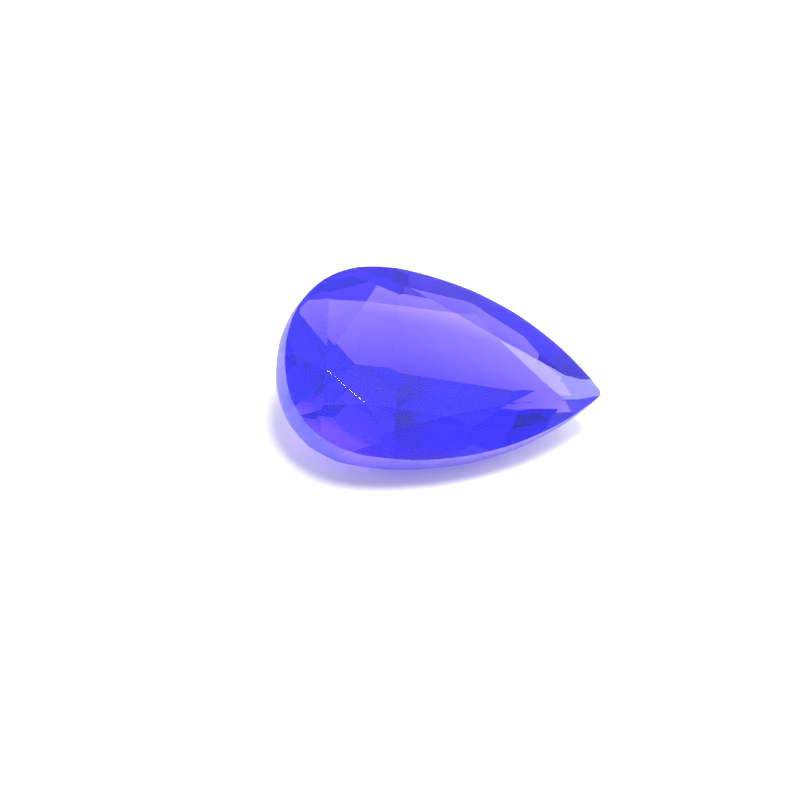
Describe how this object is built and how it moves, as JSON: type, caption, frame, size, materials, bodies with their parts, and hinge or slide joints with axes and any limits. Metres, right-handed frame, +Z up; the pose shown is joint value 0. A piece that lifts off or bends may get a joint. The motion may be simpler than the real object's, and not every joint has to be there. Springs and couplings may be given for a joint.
{
  "type": "pear-cut tanzanite gemstone",
  "caption": "Faceted pear-shaped violet-blue tanzanite with a wide table, a thick frosted girdle and visible inclusions, lying on a pavilion facet.",
  "frame": {"origin": "bottom centre of the bounding box, on the surface that the stone lies on", "axes": "+X along the stone towards the pear's tip, +Z up from the surface; the table faces up and leans towards -Y and a little towards +X"},
  "size_m": [0.0102, 0.0062, 0.0047],
  "materials": {
    "tanzanite": "polished facets on a see-through violet-blue stone, with a frosted girdle"
  },
  "bodies": {
    "root": {"tanzanite": "tanzanite"}
  },
  "joints": []
}
